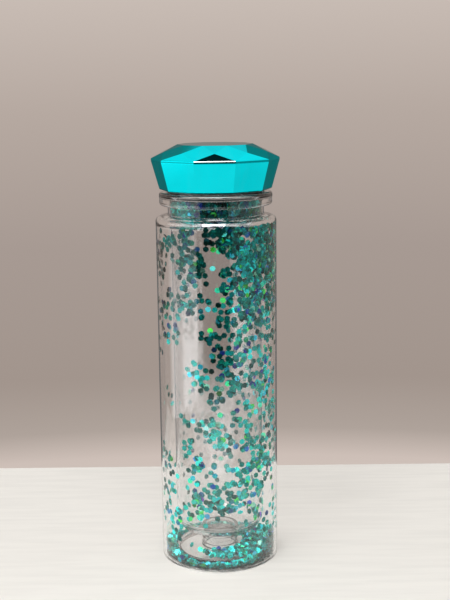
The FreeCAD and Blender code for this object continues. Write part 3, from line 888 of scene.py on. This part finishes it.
def neck_flakes(sizes, glitter, draw):
    """Flakes caught upright in the narrow gap between neck and flask, evenly drawn round it.

    Their tone is painted light and shade: darkest in front and behind, it gains with the squared sine of the
    azimuth.
    """
    count, usual_tilt = 1000, math.radians(4.0)
    painted_front_shade, painted_side_light = 0.17, 0.52
    azimuth = any_turn(count, draw)
    gap = sizes.groove_radius - sizes.neck_wall - sizes.flask_radius
    radius = sizes.flask_radius + gap * draw.uniform(0.25, 0.75, count)
    low, high = sizes.shoulder_height - sizes.shell_wall, SHELL_HIGH.z - flake_reach(glitter)
    height = draw.uniform(low, high, count)
    tilts = np.abs(usual_tilt * draw.standard_normal(count))
    normals = tilted(outward_at(azimuth), tilts, any_turn(count, draw))
    # Painted shade in front and behind, painted light towards the sides
    tones = painted_front_shade + painted_side_light * np.sin(azimuth) ** 2
    return spots_at(azimuth, radius, height), normals, any_turn(count, draw), tones


def bell(azimuth, middle, width):
    """Bell curve of the azimuth, with middle and width in degrees: exp(-((azimuth - middle) / width)^2)."""
    return np.exp(-((azimuth - math.radians(middle)) / math.radians(width)) ** 2)


def pile_depth(azimuth):
    """Depth of the flakes settled in the channel: shallow, with a low bank left and a high one right."""
    shallow, right_bank, left_bank = 1.2, 11.5, 5.5
    return (shallow + right_bank * bell(azimuth, 80.0, 30.0) + left_bank * bell(azimuth, -82.0, 26.0)) * MM


def heap_flakes(sizes, glitter, draw):
    """Flakes settled on the base, layer by layer, each layer with its tone.

    The bed lies flat in the channel, toned dark as painted shade; a top layer, toned a little bright as
    painted light, lies on it, tilted to the front; and some lean on the shell. The panel's flakes are normal
    draws round its front right, so that its front left stays bare, and a row of near-black flakes stands
    against the panel's step as painted shade.
    """
    reach, ease = flake_reach(glitter), 0.25 * MM
    inside = SHELL_HIGH.x - sizes.shell_wall
    inner = sizes.panel_radius + sizes.panel_slope
    floor = sizes.base_top + glitter.thickness

    def banked(count):
        """Azimuths drawn in proportion to the pile's depth, out of eight times as many trials."""
        trial = draw.uniform(-np.pi, np.pi, 8 * count)
        depth = pile_depth(trial)
        return trial[draw.uniform(0.0, 1.0, 8 * count) < depth / depth.max()][:count]

    def lying(azimuth, radius, tilts, height, scatter):
        """Places and normals of flakes at a height, tilted to the front and, aside, a little outwards."""
        leans = np.pi + 0.5 * np.sin(azimuth) + scatter * draw.standard_normal(len(azimuth))
        level = np.tile(UP, (len(azimuth), 1))
        return spots_at(azimuth, radius, height + reach * np.sin(tilts)), tilted(level, tilts, leans)

    def in_channel(piled, strewn, room, tilts, depths, scatter):
        """Flakes of the channel, piled on its banks and strewn all round, at shares of the pile's depth."""
        azimuth = np.concatenate((banked(piled), draw.uniform(-np.pi, np.pi, strewn)))
        radius = draw.uniform(inner + room * reach, inside - 1.05 * reach, len(azimuth))
        slants = tilts(azimuth)
        height = floor + pile_depth(azimuth) * draw.uniform(*depths, len(azimuth))
        return lying(azimuth, radius, slants, height, scatter)

    def flat(azimuth):
        """Small tilts, held under the heap's usual one."""
        drawn = 0.5 * glitter.heap_tilt * draw.standard_normal(len(azimuth))
        return np.minimum(np.abs(drawn), glitter.heap_tilt)

    def steep(azimuth):
        """Large tilts, down to half of that a little left of the front."""
        flatter = 1.0 - 0.5 * bell(azimuth, -25.0, 40.0)
        return draw.uniform(1.7, 3.6, len(azimuth)) * glitter.heap_tilt * flatter

    # The bed and the top layer in the channel
    bed = in_channel(piled=480, strewn=900, room=0.7, tilts=flat, depths=(0.0, 0.75), scatter=2.0)
    top = in_channel(piled=230, strewn=340, room=0.6, tilts=steep, depths=(0.5, 1.0), scatter=0.8)

    # Flakes that lean on the shell, each at its own rise from upright
    bearing = banked(150)
    rise = np.radians(draw.uniform(8.0, 65.0, len(bearing)))
    radius = inside - ease - reach * np.sin(rise)
    pile = pile_depth(bearing) * draw.uniform(0.2, 1.1, len(bearing))
    height = sizes.base_top + reach * np.cos(rise) + pile
    facing = -outward_at(bearing) * np.cos(rise)[:, None] + UP * np.sin(rise)[:, None]
    lean = spots_at(bearing, radius, height), facing

    # Flakes on the panel, piled higher towards its edge
    panel_count, middle, spread, thickest = 280, 52.0, 34.0, 2.0 * MM
    bearing = np.radians(middle + spread * draw.standard_normal(panel_count))
    nearest = sizes.pedestal_radius + 2 * reach
    radius = np.sqrt(draw.uniform(nearest ** 2, sizes.panel_radius ** 2, panel_count))
    tilts = draw.uniform(1.0, 3.4, panel_count) * glitter.heap_tilt
    pile = thickest * (radius / sizes.panel_radius) ** 2 * draw.uniform(0.0, 1.0, panel_count)
    height = sizes.base_top + sizes.panel_rise + glitter.thickness + pile
    panel = lying(bearing, radius, tilts, height, scatter=0.8)

    # A row of near-black flakes stands against the panel's step: painted shade
    step_count = 220
    bearing = np.radians(draw.uniform(-95.0, 60.0, step_count))
    height = sizes.base_top + reach * draw.uniform(0.95, 1.15, step_count)
    step = spots_at(bearing, inner + ease + glitter.thickness, height), outward_at(bearing)

    # Tones by layer: painted shade for the bed and the step's row, a little painted light on the top, the
    # rest about plain
    layers = ((bed, 0.2), (top, 1.1), (lean, 1.05), (panel, 1.05), (step, 0.01))
    centres = np.concatenate([places for (places, _), _ in layers])
    normals = np.concatenate([facing for (_, facing), _ in layers])
    tones = np.concatenate([np.full(len(places), tone) for (places, _), tone in layers])
    return centres, normals, any_turn(len(tones), draw), tones


class GLITTER_BOTTLE_OT_glitter(bpy.types.Operator):
    """Strews the flakes between the walls, in the neck and on the base"""

    bl_idname = "glitter_bottle.glitter"
    bl_label = "Glitter"

    def execute(self, context):
        sizes, glitter = context.scene.bottle_sizes, context.scene.glitter_sizes
        film = glitter_film()
        draw = np.random.default_rng(glitter.seed)
        strewn = {
            "glitter_shell": ("flakes_on_shell", wall_flakes("shell", sizes, glitter, draw)),
            "glitter_flask": ("flakes_on_flask", wall_flakes("flask", sizes, glitter, draw)),
            "glitter_neck": ("flakes_in_neck", neck_flakes(sizes, glitter, draw)),
            "glitter_heap": ("flakes_in_heap", heap_flakes(sizes, glitter, draw)),
        }
        for node, (name, places) in strewn.items():
            add_piece(flake_mesh(name, *places, glitter, draw), film, "bottle", "glitter_film", node)
        return {"FINISHED"}


def floor_mesh(stage):
    """Board top as a flat grid: x from side to side and y from front to back, at height zero."""
    columns, rows = 9, 5
    across = np.linspace(-stage.floor_side, stage.floor_side, columns)
    along = np.linspace(-stage.floor_front, stage.floor_back, rows)
    grid = np.stack(np.broadcast_arrays(across[:, None], along[None, :], 0.0), axis=-1)
    index = np.arange(columns * rows).reshape(columns, rows)
    quads = np.stack((index[:-1, :-1], index[1:, :-1], index[1:, 1:], index[:-1, 1:]), axis=-1)
    mesh = bpy.data.meshes.new("floor")
    mesh.from_pydata(grid.reshape(-1, 3).tolist(), [], quads.reshape(-1, 4).tolist())
    return mesh


# How far a ray has come into a part of the room, from 0 to 1: the part, the measure that it follows, the
# measure at 0 and at 1, and the share that it is a share of
ROOM_SHARES = (
    ("climb", "Z", -1.0, 1.0),
    ("under_top", "Z", 0.97, 0.93),
    ("panel", "over_edge", 0.4765, 0.4925),
    ("card_side", "aside", 0.10, 0.14),
    ("card_strip", "aside", 0.42, 0.38, "card_side"),
    ("card", "Z", 0.04, 0.0, "card_strip"),
    ("rear", "Y", 0.1, 0.3),
    ("left", "X", -0.595, -0.615),
    ("right", "X", 0.485, 0.505),
    ("window", "Z", 0.30, 0.40),
    ("through", "Glossy Depth", 1.0, 0.0, "Is Transmission Ray"),
)

# Colours or levels of grey against the climb of the ray, which is 0 straight down and 1 straight up
ROOM_TONES = {
    "backdrop": ((0.300, "#D3C8BF"), (0.336, "#CDBFB7"), (0.348, "#AEA29A"), (0.370, "#A2958D"),
                 (0.430, "#A79A93"), (0.490, "#B6A9A1"), (0.545, "#CABEB6")),
    "rear_wall": ((0.30, 0.5), (0.36, "#A2958D"), (0.60, "#B0A39B")),
    "left_wall": ((0.270, 0.92), (0.310, 1.8), (0.390, 2.1), (0.435, 0.7), (0.490, 0.7), (0.520, 2.3)),
    "gap": ((0.270, 0.92), (0.300, 1.7), (0.350, 1.7), (0.375, 0.03)),
    "right_wall": ((0.270, 0.77), (0.300, 1.1), (0.370, 1.0), (0.420, 0.28)),
}

# The room put together: the result, the share, what shows at share 0 and what shows at share 1
ROOM_LAYERS = (
    ("low_back", "card", "rear_wall", 0.14),
    ("behind", "panel", "low_back", 1.03),
    ("dim_side", "right", "gap", "right_wall"),
    ("under_window", "left", "dim_side", "left_wall"),
    ("ahead", "window", "under_window", 0.9),
    ("level_room", "rear", "ahead", "behind"),
    ("studio", "under_top", 0.02, "level_room"),
    ("seen_through", "through", "studio", "backdrop"),
    ("seen", "Is Camera Ray", "seen_through", "backdrop"),
)


def tone_colour(tone):
    """Linear colour of a tone that is given as sRGB hex or as a level of grey."""
    return linear(tone) if isinstance(tone, str) else (tone, tone, tone, 1.0)


def studio_world():
    """Room round the object, by the direction of a ray.

    A ray that comes straight or through clear walls sees a warm grey backdrop. Any other ray sees the
    studio: behind, a wall like that backdrop with a wide soft panel above it and a dark card low at each
    side; in front, a white wall to the left, a dim one to the right, a dark gap between them and a window
    over all three. The walls and the gap change their brightness with height.
    """
    world = bpy.data.worlds.new("studio")
    bpy.context.scene.world = world
    world.use_nodes = True
    tree = world.node_tree
    tree.nodes.clear()
    way = add_node(tree, "ShaderNodeTexCoord")
    parts = add_node(tree, "ShaderNodeSeparateXYZ", links={"Vector": way.outputs["Generated"]})
    path = add_node(tree, "ShaderNodeLightPath")
    sockets = {socket.name: socket for socket in (*parts.outputs, *path.outputs)}
    aside = add_node(tree, "ShaderNodeMath", settings={"operation": "ABSOLUTE"}, links={0: sockets["X"]})
    sockets["aside"] = aside.outputs[0]
    # The soft panel's lower edge rises a little towards both sides
    over_edge = add_node(tree, "ShaderNodeMath", settings={"operation": "MULTIPLY_ADD"}, values={1: -0.5},
                         links={0: sockets["aside"], 2: sockets["Z"]})
    sockets["over_edge"] = over_edge.outputs[0]
    for name, measure, at_zero, at_one, *whole in ROOM_SHARES:
        links = {"Value": sockets[measure]} | {"To Max": sockets[share] for share in whole}
        span = add_node(tree, "ShaderNodeMapRange", links=links,
                        values={"From Min": at_zero, "From Max": at_one})
        sockets[name] = span.outputs["Result"]
    for name, stops in ROOM_TONES.items():
        ramp = add_node(tree, "ShaderNodeValToRGB", links={"Fac": sockets["climb"]},
                        stops=[(position, tone_colour(tone)) for position, tone in stops])
        sockets[name] = ramp.outputs["Color"]
    for name, share, *shown in ROOM_LAYERS:
        ends = dict(zip("AB", shown))
        links = {end: sockets[part] for end, part in ends.items() if part in sockets}
        mixed = add_node(tree, "ShaderNodeMix", settings={"data_type": "RGBA"},
                         values={end: tone_colour(tone) for end, tone in ends.items() if tone not in sockets},
                         links={"Factor": sockets[share]} | links)
        sockets[name] = mixed.outputs["Result"]
    light = add_node(tree, "ShaderNodeBackground", links={"Color": sockets["seen"]})
    add_node(tree, "ShaderNodeOutputWorld", links={"Surface": light.outputs["Background"]})


class GLITTER_BOTTLE_OT_stage(bpy.types.Operator):
    """Sets up the floor, the light and the camera"""

    bl_idname = "glitter_bottle.stage"
    bl_label = "Stage"

    def execute(self, context):
        scene, stage = context.scene, context.scene.stage_settings
        mesh = floor_mesh(stage)
        mesh.materials.append(painted_board(stage.floor_colour))
        floor = bpy.data.objects.new("floor", mesh)
        scene.collection.objects.link(floor)

        lamp = bpy.data.lights.new("key", "AREA")
        lamp.shape = "RECTANGLE"
        lamp.size = stage.key_width
        lamp.size_y = stage.key_height
        lamp.energy = stage.key_power
        key = bpy.data.objects.new("key", lamp)
        scene.collection.objects.link(key)
        key.location = stage.key_place
        aim = Vector((0.0, 0.0, CROWN_HIGH.z / 2)) - key.location
        key.rotation_euler = aim.to_track_quat("-Z", "Y").to_euler()
        key.visible_camera = False

        studio_world()

        lens = bpy.data.cameras.new("camera")
        lens.lens = stage.camera_lens
        lens.sensor_width = 36.0
        camera = bpy.data.objects.new("camera", lens)
        scene.collection.objects.link(camera)
        camera.matrix_world = (
            Matrix.Translation(stage.camera_place)
            @ Matrix.Rotation(stage.camera_yaw, 4, "Z")
            @ Matrix.Rotation(math.pi / 2 - stage.camera_pitch, 4, "X")
            @ Matrix.Rotation(stage.camera_roll, 4, "Z")
        )
        scene.camera = camera
        scene.view_settings.view_transform = "Standard"
        return {"FINISHED"}


class GLITTER_BOTTLE_PT_panel(bpy.types.Panel):
    """Lists the steps that dress the bottle"""

    bl_idname = "GLITTER_BOTTLE_PT_panel"
    bl_label = "Glitter Bottle"
    bl_space_type = "VIEW_3D"
    bl_region_type = "UI"
    bl_category = "Glitter Bottle"

    def draw(self, context):
        for step in OPERATORS:
            self.layout.operator(step.bl_idname)
        for group in SETTINGS:
            box = self.layout.box()
            owner = getattr(context.scene, group)
            for name in owner.bl_rna.properties.keys():
                if name not in ("rna_type", "name"):
                    box.prop(owner, name)


SETTINGS = {
    "bottle_sizes": BottleSizes,
    "lid_sizes": LidSizes,
    "glitter_sizes": GlitterSizes,
    "finish_colours": FinishColours,
    "stage_settings": StageSettings,
}
OPERATORS = (
    GLITTER_BOTTLE_OT_clear_walls,
    GLITTER_BOTTLE_OT_gem_lid,
    GLITTER_BOTTLE_OT_lid_lining,
    GLITTER_BOTTLE_OT_glitter,
    GLITTER_BOTTLE_OT_stage,
)


def register():
    """Registers the settings, the steps and the panel."""
    for group, kind in SETTINGS.items():
        bpy.utils.register_class(kind)
        setattr(bpy.types.Scene, group, bpy.props.PointerProperty(type=kind))
    for kind in (*OPERATORS, GLITTER_BOTTLE_PT_panel):
        bpy.utils.register_class(kind)


def unregister():
    """Takes back what register added, in reverse order."""
    for kind in reversed((*OPERATORS, GLITTER_BOTTLE_PT_panel)):
        bpy.utils.unregister_class(kind)
    for group, kind in reversed(SETTINGS.items()):
        delattr(bpy.types.Scene, group)
        bpy.utils.unregister_class(kind)


def main():
    """Dresses the loaded frame step by step."""
    register()
    bpy.ops.glitter_bottle.clear_walls()
    bpy.ops.glitter_bottle.gem_lid()
    bpy.ops.glitter_bottle.lid_lining()
    bpy.ops.glitter_bottle.glitter()
    bpy.ops.glitter_bottle.stage()


if __name__ == "__main__":
    main()
